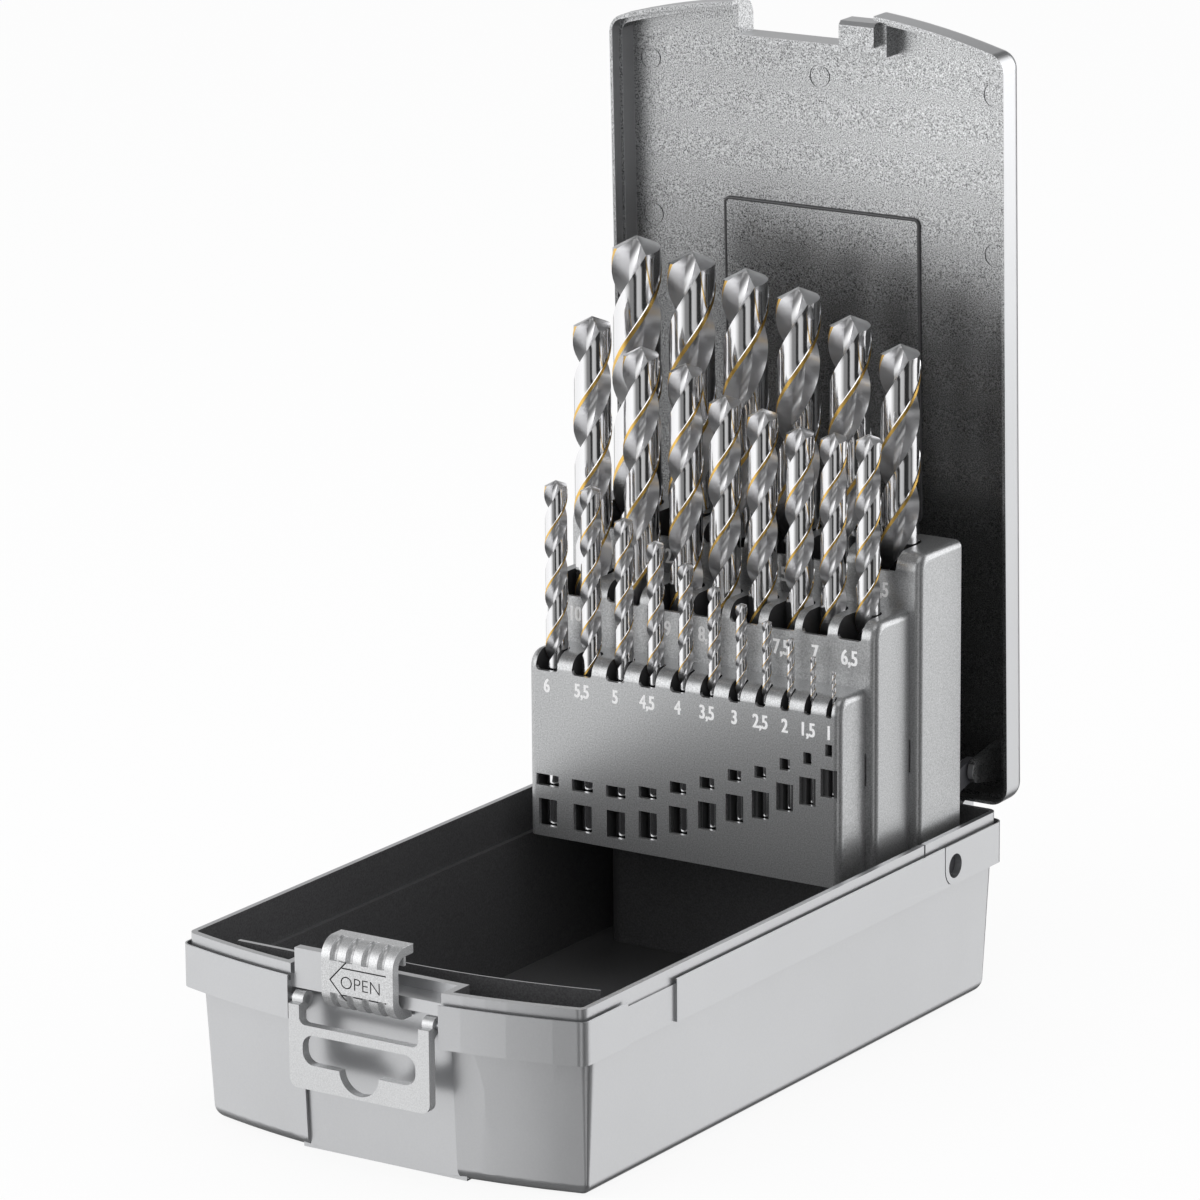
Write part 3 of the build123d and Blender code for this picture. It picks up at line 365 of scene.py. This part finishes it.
# the inside, painted darker as shade: all that lies between the walls, which step in below the shelf and lean
# with the draft
tray_half_width, front_corner_y, front_bow_radius = 59.0 * mm, -98.4 * mm, 204.4 * mm
inner_wall_x, rear_wall_y, front_wall_depth = 56.7 * mm, 96.1 * mm, 2.3 * mm
notch_reach_x, notch_inner_y = 23.9 * mm, -95.8 * mm
shelf_top_z, shelf_reach, lower_front_reach = 37.0 * mm, 1.3 * mm, 4.2 * mm
wall_draft = math.tan(math.radians(3.2))
inside_low_z, inside_high_z = 2.4 * mm, 48.6 * mm
corner_bow = math.sqrt(front_bow_radius ** 2 - tray_half_width ** 2)
for face in tray.data.polygons:
    x, y, z = face.center
    bow = math.sqrt(front_bow_radius ** 2 - x ** 2) - corner_bow
    below_shelf = max(0.0, shelf_top_z - z)
    step_in = shelf_reach + below_shelf * wall_draft if below_shelf else 0.0
    front_step = lower_front_reach + below_shelf * wall_draft if below_shelf else 0.0
    front_wall_y = front_corner_y - bow + front_wall_depth + front_step
    if abs(x) < notch_reach_x:
        front_wall_y = notch_inner_y
    between_sides = abs(x) < inner_wall_x - step_in
    between_ends = front_wall_y < y < rear_wall_y - step_in
    if between_sides and between_ends and inside_low_z < z < inside_high_z:
        face.material_index = 1
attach(tray, "base")

# ------------------------------------------------------------------ lid_shell
# The lid is a moulding in the tray's plastic, which stands up on its hinge.
# Its inside is more grained than its walls, and painted shade makes it darker towards the hinge and the left.
# The low steps in it, round the panel and the ejector marks, have near-black sides, which are painted shade.
lid_inside_grey = (0.42, 0.425, 0.43, 1)
# near-black painted shade for the sides of the low steps and for the panel's bead
step_painted_shade = (0.05, 0.05, 0.052, 1)
# painted shade on the lid's inside: its colour is scaled down towards the hinge and towards the left
lid_shade_by_height = (165 * mm, 222 * mm, 0.45, 1.0)     # where it starts and ends, both levels
lid_shade_across = (-30 * mm, 45 * mm, 0.86, 1.12)
lid_plastic = moulded_plastic(
    "lid_plastic", tray_grey, grain_size=0.5 * mm, mottle=0.02, roughness=0.31, pit_depth=0.003 * mm,
    sheen=satin,
)
lid_inside = moulded_plastic(
    "lid_inside", lid_inside_grey, grain_size=0.34 * mm, mottle=0.85, roughness=0.34, pit_depth=0.008 * mm,
    sheen=0.9,
)
lid_nodes = lid_inside.node_tree
# the painted shade: the inside's grey is scaled by its height and by its place across the lid
lid_point = lid_nodes.nodes.new("ShaderNodeTexCoord")
lid_place = lid_nodes.nodes.new("ShaderNodeSeparateXYZ")
lid_nodes.links.new(lid_point.outputs["Object"], lid_place.inputs[0])
lid_painted_shade = lid_nodes.nodes.new("ShaderNodeMath")
lid_painted_shade.operation = "MULTIPLY"
lid_nodes.links.new(fade(lid_nodes, lid_place.outputs["Z"], *lid_shade_by_height), lid_painted_shade.inputs[0])
lid_nodes.links.new(fade(lid_nodes, lid_place.outputs["X"], *lid_shade_across), lid_painted_shade.inputs[1])
lid_shaded_grey = scaled(lid_nodes, lid_inside_grey, lid_painted_shade.outputs[0])
lid_nodes.links.new(lid_shaded_grey, lid_nodes.nodes["grain"].inputs["Color"])
lid_steps = moulded_plastic(
    "lid_steps", step_painted_shade, grain_size=0.42 * mm, mottle=0.3, roughness=0.34, pit_depth=0.01 * mm,
)
lid = softened("lid_shell", "lid", edge_break, lid_plastic)
lid.data.materials.append(lid_inside)
lid.data.materials.append(lid_steps)
# the inside is all that lies deeper in the lid's box than its walls, but for the outsides of its end walls;
# the lid leans, so its flat outside lies within the box too and wears the same grain and painted shade
hinge_end_wall, latch_end_wall = 3.0 * mm, 2.5 * mm
rim_depth, roof_depth = 0.6 * mm, 1.2 * mm
front_wall_reach, rear_wall_reach = 25 * mm, 8 * mm
faces_out = 0.3                   # least share of a normal that points out of the lid's end
facing = 0.99                     # least share of a normal in a face that looks straight to the front
leaning = 0.9                     # and the most in a step's side
step_low, step_high, step_margin = -0.4 * mm, 0.7 * mm, 2 * mm
lid_low, lid_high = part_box("lid_shell")
roof = max((face for face in lid.data.polygons if face.normal.y < -facing), key=lambda face: face.area)
roof_normal, roof_place = roof.normal.copy(), roof.center.copy()
for face in lid.data.polygons:
    x, y, z = face.center
    within = (
        abs(x) < inner_wall_x
        and lid_low.y + rim_depth < y < lid_high.y - roof_depth
        and lid_low.z + hinge_end_wall < z < lid_high.z - latch_end_wall
    )
    front_wall_outside = z > lid_high.z - front_wall_reach and face.normal.z > faces_out
    rear_wall_outside = z < lid_low.z + rear_wall_reach and face.normal.z < -faces_out
    if within and not front_wall_outside and not rear_wall_outside:
        above_roof = (face.center - roof_place).dot(roof_normal)
        # the sides of the low steps get the near-black colour of painted shade
        on_step = abs(face.normal.dot(roof_normal)) < leaning and step_low < above_roof < step_high
        face.material_index = 2 if on_step and abs(x) < inner_wall_x - step_margin else 1
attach(lid, "lid")

# ------------------------------------------------------------------ panel border
# A round bead runs along the edge of the raised panel inside the lid, moulded with it.
# It is the outline of the panel's own face, given a round section and sunk into the edge; its near-black
# colour is painted shade.
bead_radius = 0.5 * mm
bead_sink = 0.3 * mm
panel_half_x, panel_low_z, panel_high_z = 29.3 * mm, 60 * mm, 190 * mm
panel_least_area = 100 * mm * mm
panel_faces = [
    face for face in lid.data.polygons
    if face.normal.y < -facing and face.area > panel_least_area
    and panel_low_z < face.center.z < panel_high_z
    and all(abs(lid.data.vertices[v].co.x) < panel_half_x for v in face.vertices)
]
panel_out = panel_faces[0].normal.copy()
bpy.ops.object.select_all(action="DESELECT")
bpy.context.view_layer.objects.active = lid
lid.select_set(True)
for part in (lid.data.vertices, lid.data.edges, lid.data.polygons):
    for item in part:
        item.select = False
for face in panel_faces:
    face.select = True
bpy.ops.object.mode_set(mode="EDIT")
bpy.ops.mesh.select_mode(type="FACE")
bpy.ops.mesh.duplicate()
bpy.ops.mesh.separate(type="SELECTED")
bpy.ops.mesh.select_mode(type="VERT")
bpy.ops.object.mode_set(mode="OBJECT")
bead = next(thing for thing in bpy.context.selected_objects if thing is not lid)
for key in [key for key in bead.keys() if key.startswith("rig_")]:
    del bead[key]
bead.name = "panel_border"
bpy.ops.object.select_all(action="DESELECT")
bead.select_set(True)
bpy.context.view_layer.objects.active = bead
bpy.ops.object.mode_set(mode="EDIT")
bpy.ops.mesh.select_all(action="SELECT")
bpy.ops.mesh.dissolve_faces()
bpy.ops.mesh.delete(type="ONLY_FACE")
bpy.ops.object.mode_set(mode="OBJECT")
bpy.ops.object.convert(target="CURVE")
bead = bpy.context.object
bead.data.bevel_depth = bead_radius
bead.data.bevel_resolution = 2
bpy.ops.object.convert(target="MESH")
bead = bpy.context.object
bead.data.transform(Matrix.Translation(-bead_sink * panel_out))
bpy.ops.object.shade_smooth()
bead.data.materials.clear()
# the bead wears the steps' near-black colour: a painted shade line along the panel's edge
bead.data.materials.append(lid_steps)
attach(bead, "lid")

# ------------------------------------------------------------------ latch_slider
# The latch is a C-shaped clip in a lighter plastic that slides to the left to open.
# The word OPEN and an arrow round it are cut into its front as thin lines, coloured near-black inside as
# painted shade in the grooves.
light_grey = (0.60, 0.605, 0.61, 1)
light_sheen = 0.7
# near-black painted shade for the insides of the engraved grooves
groove_painted_shade = (0.02, 0.02, 0.021, 1)
latch_plastic = moulded_plastic(
    "latch_plastic", light_grey, grain_size=0.30 * mm, mottle=0.24, roughness=0.38, pit_depth=0.008 * mm,
    sheen=light_sheen,
)
# the grooves' material: painted shade
engraved_dark = moulded_plastic(
    "engraved_dark", groove_painted_shade, grain_size=0.4 * mm, mottle=0.2, roughness=0.6, pit_depth=0.01 * mm,
)
latch = softened("latch_slider", "latch", edge_break, latch_plastic)
latch_front_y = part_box("latch_slider")[0].y
engraving_depth = 0.3 * mm
line_width = 0.34 * mm
cap_height = 0.73                 # of the type's size
word_middle = (1.0 * mm, 48.2 * mm)
word_height = 3.3 * mm
word_stretch = 1.02
word_thinning = 0.06 * mm
arrow_tip = (-7.9 * mm, 48.2 * mm)
arrow_lines = (
    (arrow_tip, (-3.3 * mm, 53.0 * mm)), (arrow_tip, (-3.3 * mm, 43.4 * mm)),
    ((-4.2 * mm, 51.6 * mm), (8.3 * mm, 51.6 * mm)), ((-4.2 * mm, 44.8 * mm), (8.3 * mm, 44.8 * mm)),
)
bpy.ops.object.select_all(action="DESELECT")
bpy.ops.object.text_add()
word = bpy.context.object
word.data.body = "OPEN"
word.data.align_x = "CENTER"
word.data.size = word_height / cap_height
word.data.offset = -word_thinning
word.data.extrude = engraving_depth
bpy.ops.object.convert(target="MESH")
word = bpy.context.object
word.data.transform(
    Matrix.Translation((word_middle[0], latch_front_y, word_middle[1] - word_height / 2))
    @ Matrix.Rotation(math.pi / 2, 4, "X")
    @ Matrix.Diagonal((word_stretch, 1, 1, 1))
)
cuts = [word]
for (start_x, start_z), (end_x, end_z) in arrow_lines:
    run = Vector((end_x - start_x, 0, end_z - start_z))
    bpy.ops.object.select_all(action="DESELECT")
    bpy.ops.mesh.primitive_cube_add(size=1)
    line = bpy.context.object
    line.data.transform(
        Matrix.Translation(((start_x + end_x) / 2, latch_front_y, (start_z + end_z) / 2))
        @ run.to_track_quat("X", "Z").to_matrix().to_4x4()
        @ Matrix.Diagonal((run.length + line_width, 2 * engraving_depth, line_width, 1))
    )
    cuts.append(line)
for cut in cuts:
    cut.data.materials.clear()
    cut.data.materials.append(engraved_dark)
    engraving = latch.modifiers.new("engraving", "BOOLEAN")
    engraving.operation = "DIFFERENCE"
    engraving.solver = "EXACT"
    engraving.material_mode = "TRANSFER"
    engraving.object = cut
    bpy.ops.object.select_all(action="DESELECT")
    bpy.context.view_layer.objects.active = latch
    bpy.ops.object.modifier_apply(modifier=engraving.name)
    bpy.data.objects.remove(cut)
latch.select_set(True)
shade_flat_faces(latch)
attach(latch, "slider")

# ------------------------------------------------------------------ hanger
# The hanger is a plate in the latch's lighter plastic, with a slot for a display hook.
# It folds out on two wire pins and is stored down against the tray's front.
hanger_plastic = moulded_plastic(
    "hanger_plastic", light_grey, grain_size=0.36 * mm, mottle=0.12, roughness=0.38, pit_depth=0.006 * mm,
    sheen=light_sheen,
)
hanger = softened("hanger", "hanger_plate", edge_break, hanger_plastic)
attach(hanger, "hanger")

# ------------------------------------------------------------------ drill holder
# The holder is three grained blocks, each a moulding of its own, set together like three stairs.
# Each has a pocket for every drill of its row, with a mouth in the block's front; the pockets' insides are
# near-black, painted shade.
holder_grey = (0.44, 0.445, 0.45, 1)
# near-black painted shade for the insides of the pockets
pocket_painted_shade_grey = (0.03, 0.03, 0.031, 1)
holder_edge_break = 0.3 * mm
holder_plastic = moulded_plastic(
    "holder_plastic", holder_grey, grain_size=0.36 * mm, mottle=0.30, roughness=0.34, pit_depth=0.008 * mm,
    sheen=satin,
)
pocket_dark = moulded_plastic(
    "pocket_dark", pocket_painted_shade_grey, grain_size=0.4 * mm, mottle=0.2, roughness=0.5, pit_depth=0.01 * mm,
)
block_front_round = 4.5 * mm
skin, side_skin, bottom_skin = 0.8 * mm, 1.5 * mm, 1.0 * mm     # faces nearer the outside aren't in a pocket
for row in ("front", "middle", "rear"):
    block = softened(row + "_row_block", row + "_block", holder_edge_break, holder_plastic)
    block.data.materials.append(pocket_dark)
    block_low, block_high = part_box(row + "_row_block")
    shoulder_x = max(v.co.x for v in block.data.vertices if v.co.z > block_high.z - block_front_round)
    for face in block.data.polygons:
        # how deep the face lies under the front, the top and the sides of the block
        behind, below = face.center.y - block_low.y, block_high.z - face.center.z
        beside = shoulder_x - abs(face.center.x)
        corner = Vector((max(0.0, block_front_round - behind), max(0.0, block_front_round - below)))
        deep = block_front_round - corner.length if corner.length else min(behind, below)
        # faces deep in a pocket get the near-black painted shade
        if deep > skin and beside > side_skin and face.center.z > block_low.z + bottom_skin:
            face.material_index = 1
    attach(block, "holder")

# ------------------------------------------------------------------ drill size numbers
# Each pocket's drill size is pad-printed in white on the block's front, below the drill.
# The ink stands a few hundredths of a millimetre proud, in a bold condensed figure.
# Each figure is struck twice, side by side, to make it bold.
white = (0.97, 0.97, 0.97, 1)
ink_thickness = 0.04 * mm
figure_condensing = 0.74
figure_thickening = 0.085 * mm
strike_apart = 0.22 * mm
row_numbers = {                   # height of the figures' middle, their own height, and the sizes
    "front": (82.3 * mm, 3.7 * mm, ("6", "5,5", "5", "4,5", "4", "3,5", "3", "2,5", "2", "1,5", "1")),
    "middle": (98.8 * mm, 4.0 * mm, ("10", "9,5", "9", "8,5", "8", "7,5", "7", "6,5")),
    "rear": (112.9 * mm, 3.9 * mm, ("13", "12,5", "12", "11,5", "11", "10,5")),
}
white_ink = bpy.data.materials.new("white_ink")
white_ink.use_nodes = True
ink_grain = white_ink.node_tree.nodes.new("ShaderNodeGroup")
ink_grain.node_tree = grain
ink_grain.inputs["Color"].default_value = white
ink_grain.inputs["Grain Size"].default_value = 0.4 * mm
ink_grain.inputs["Mottle"].default_value = 0.06
ink_grain.inputs["Roughness"].default_value = 0.5
ink_shader = white_ink.node_tree.nodes["Principled BSDF"]
white_ink.node_tree.links.new(ink_grain.outputs["Color"], ink_shader.inputs["Base Color"])
white_ink.node_tree.links.new(ink_grain.outputs["Roughness"], ink_shader.inputs["Roughness"])
for row, (middle_z, figure_height, numbers) in row_numbers.items():
    block_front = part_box(row + "_row_block")[0].y
    printed = []
    for number in numbers:
        # the size 5,5 stands under drill_5_5, and 6 under drill_6_0
        drill_low, drill_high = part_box("drill_" + "_".join((number + ",0").split(",")[:2]))
        middle_x = (drill_low.x + drill_high.x) / 2
        for strike in (1, 2):
            bpy.ops.object.select_all(action="DESELECT")
            bpy.ops.object.text_add()
            figure = bpy.context.object
            figure.data.body = number
            figure.data.align_x = "CENTER"
            figure.data.size = figure_height / cap_height
            figure.data.offset = figure_thickening
            # the second strike stands a little prouder, so the two never share a plane
            figure.data.extrude = strike * ink_thickness / 3
            bpy.ops.object.convert(target="MESH")
            figure = bpy.context.object
            strike_x = middle_x + (strike - 1.5) * strike_apart
            figure.data.transform(
                Matrix.Translation((strike_x, block_front, middle_z - figure_height / 2))
                @ Matrix.Rotation(math.pi / 2, 4, "X")
                @ Matrix.Diagonal((figure_condensing, 1, 1, 1))
            )
            printed.append(figure)
    bpy.ops.object.select_all(action="DESELECT")
    for figure in printed:
        figure.select_set(True)
    bpy.context.view_layer.objects.active = printed[0]
    bpy.ops.object.join()
    row_print = bpy.context.object
    row_print.name = row + "_row_sizes"
    row_print.data.materials.clear()
    row_print.data.materials.append(white_ink)
    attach(row_print, "holder")

# ------------------------------------------------------------------ pins and links
# The lid, the hanger and the links turn on pins cut from drawn steel wire.
# The two lift links and the holder's pivots are moulded in smooth dark plastic.
link_grey = (0.055, 0.055, 0.06, 1)


def bare_metal(name, color, roughness):
    """A metal of one colour, without a coat."""
    material = bpy.data.materials.new(name)
    material.use_nodes = True
    shader = material.node_tree.nodes["Principled BSDF"]
    shader.inputs["Base Color"].default_value = color
    shader.inputs["Metallic"].default_value = 1.0
    shader.inputs["Roughness"].default_value = roughness
    return material


wire_steel = bare_metal("wire_steel", (0.55, 0.56, 0.57, 1), roughness=0.32)
link_plastic = moulded_plastic(
    "link_plastic", link_grey, grain_size=0.8 * mm, mottle=0.05, roughness=0.35, pit_depth=0.01 * mm,
)
for node, cad_piece in frame["nodes"].items():
    plastic_node = node.startswith(("holder_pivot", "lift_link"))
    if plastic_node or "_pin_" in node:
        cad_piece.data.materials.clear()
        cad_piece.data.materials.append(link_plastic if plastic_node else wire_steel)

# ------------------------------------------------------------------ drills
# High-speed steel with bright ground lands, two duller flutes and a straw-coloured margin on each land.
# Each is a fluted section carried up a helix, fading out above the shank, with a ground point.
drill_steel = bare_metal("drill_steel", (0.80, 0.80, 0.81, 1), roughness=0.12)
flute_steel = bare_metal("flute_steel", (0.74, 0.74, 0.75, 1), roughness=0.32)
margin_gold = bare_metal("margin_gold", (0.78, 0.50, 0.13, 1), roughness=0.38)

point_angle = math.radians(135)
lip_relief = math.tan(math.radians(9))
flute_pitch = 4.5               # in diameters
flute_share = 0.64              # fluted part of the length
flute_centre = 0.90             # in drill radii
flute_radius = 0.68             # in drill radii
flute_run_out = 2.2             # the flutes' fading above the shank, in drill radii
land_clearance = 0.955          # the land behind its margin, in drill radii
margin_turn = math.radians(11)
clearance_start = 1.2           # how far behind the leading edge the land is at its clearance, in margins
flute_heading_at_tip = math.radians(-50)
turn_per_ring = math.radians(12)
shank_bevel = 0.3 * mm          # along the shank
shank_bevel_inset = 0.2 * mm
gold_start = 0.05               # the straw colour's lowest place, of the fluted length
gold_least_reach = 0.98         # how far out its faces lie, in drill radii
flute_most_reach = 0.93
point_crease = math.radians(28)
seam_weld = 0.0001 * mm
half_flute = math.acos((1 + flute_centre ** 2 - flute_radius ** 2) / (2 * flute_centre))
leading_edge = math.pi - half_flute


def half_section():
    """One land and one flute: each corner's turn, its reach in drill radii and its turn behind the lip."""
    corners = []
    land_corners, margin_corners, flute_corners = 9, 3, 18
    land_turn = leading_edge - margin_turn * clearance_start - half_flute
    for k in range(land_corners):
        turn = half_flute + land_turn * k / (land_corners - 1)
        corners.append((turn, land_clearance, leading_edge - turn))
    for k in range(margin_corners):
        turn = leading_edge - margin_turn * (1 - k / (margin_corners - 1))
        corners.append((turn, 1.0, leading_edge - turn))
    for k in range(1, flute_corners):
        turn = leading_edge + 2 * half_flute * k / flute_corners
        across = flute_centre * math.sin(turn)
        reach = -flute_centre * math.cos(turn) - math.sqrt(flute_radius ** 2 - across ** 2)
        behind = 0.0 if 2 * k < flute_corners else leading_edge + math.pi - turn
        corners.append((turn, reach, behind))
    return corners


def twist_drill(name, radius, length, place):
    """A drill standing on its shank's end at a place."""
    shank_length = (1 - flute_share) * length
    fluted_length = length - shank_length
    twist = fluted_length / (flute_pitch * 2 * radius) * 2 * math.pi
    first_turn = flute_heading_at_tip - math.pi - twist
    half = half_section()
    corners = half + [(turn + math.pi, reach, behind) for turn, reach, behind in half]
    bpy.ops.object.select_all(action="DESELECT")
    bpy.ops.mesh.primitive_circle_add(vertices=len(corners), radius=radius)
    drill = bpy.context.object
    drill.name = name
    behind_lip = drill.data.attributes.new("behind_lip", "FLOAT", "POINT")
    for vertex, (turn, reach, behind) in zip(drill.data.vertices, corners):
        vertex.co = (
            radius * reach * math.cos(turn + first_turn),
            radius * reach * math.sin(turn + first_turn),
            shank_length,
        )
        behind_lip.data[vertex.index].value = behind
    screw = drill.modifiers.new("helix", "SCREW")
    screw.angle = twist
    screw.screw_offset = fluted_length
    screw.steps = screw.render_steps = int(twist / turn_per_ring)
    bpy.ops.object.modifier_apply(modifier=screw.name)
    # the flutes rise out of the round shank, and every line of the section ends on the ground point
    run_out = flute_run_out * radius
    mesh = drill.data
    behind_lip = mesh.attributes["behind_lip"].data
    for vertex in mesh.vertices:
        reach = vertex.co.to_2d().length
        rise = min(1.0, max(0.0, (vertex.co.z - shank_length) / run_out))
        new_reach = radius + (reach - radius) * rise * rise * (3 - 2 * rise)
        top = length - reach / math.tan(point_angle / 2) - reach * behind_lip[vertex.index].value * lip_relief
        back = max(0.0, vertex.co.z - top)
        turn = math.atan2(vertex.co.y, vertex.co.x) - back / fluted_length * twist
        vertex.co = (new_reach * math.cos(turn), new_reach * math.sin(turn), vertex.co.z - back)
    # close the point to its tip, and draw the shank down to its end
    bpy.ops.object.mode_set(mode="EDIT")
    bpy.ops.mesh.select_all(action="SELECT")
    bpy.ops.mesh.remove_doubles(threshold=seam_weld)
    bpy.ops.mesh.select_all(action="DESELECT")
    bpy.ops.mesh.select_non_manifold()
    bpy.ops.object.mode_set(mode="OBJECT")
    for vertex in mesh.vertices:
        vertex.select = vertex.select and vertex.co.z > shank_length + radius
    for edge in mesh.edges:
        edge.select = edge.select and all(mesh.vertices[v].select for v in edge.vertices)
    for face in mesh.polygons:
        face.select = False
    bpy.ops.object.mode_set(mode="EDIT")
    bpy.ops.mesh.extrude_edges_move()
    bpy.ops.mesh.merge(type="CENTER")
    bpy.ops.object.mode_set(mode="OBJECT")
    for vertex in mesh.vertices:
        if vertex.select:
            vertex.co = (0, 0, length)
    bpy.ops.object.mode_set(mode="EDIT")
    bpy.ops.mesh.select_all(action="DESELECT")
    bpy.ops.mesh.select_non_manifold()
    bpy.ops.mesh.extrude_edges_move(TRANSFORM_OT_translate={"value": (0, 0, shank_bevel - shank_length)})
    bpy.ops.mesh.extrude_edges_move(TRANSFORM_OT_translate={"value": (0, 0, -shank_bevel)})
    end_scale = 1 - shank_bevel_inset / radius
    bpy.ops.transform.resize(value=(end_scale, end_scale, 1), center_override=(0, 0, 0))
    bpy.ops.mesh.edge_face_add()
    bpy.ops.mesh.select_all(action="SELECT")
    bpy.ops.mesh.normals_make_consistent(inside=False)
    bpy.ops.object.mode_set(mode="OBJECT")
    # the margins keep the straw colour of tempering, and the flutes aren't polished
    for face in mesh.polygons:
        height = min(1.0, (face.center.z - shank_length) / fluted_length)
        turn = math.atan2(face.center.y, face.center.x) - first_turn - height * twist
        on_margin = (leading_edge - turn) % math.pi < margin_turn
        reach = face.center.to_2d().length / radius
        if on_margin and height > gold_start and reach > gold_least_reach:
            face.material_index = 1
        elif height > 0 and reach < flute_most_reach:
            face.material_index = 2
    bpy.ops.object.shade_smooth_by_angle(angle=point_crease)
    mesh.attributes.remove(mesh.attributes["behind_lip"])
    mesh.transform(Matrix.Translation(place))
    return drill


for node in sorted(frame["nodes"]):
    if node.startswith("drill_"):
        low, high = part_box(node)
        size = node.replace("drill_", "").replace("_", ".")
        stand = Vector(((low.x + high.x) / 2, (low.y + high.y) / 2, low.z))
        drill = twist_drill("twist_" + node, float(size) / 2 * mm, high.z - low.z, stand)
        for metal in (drill_steel, margin_gold, flute_steel):
            drill.data.materials.append(metal)
        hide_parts(node)
        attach(drill, node)
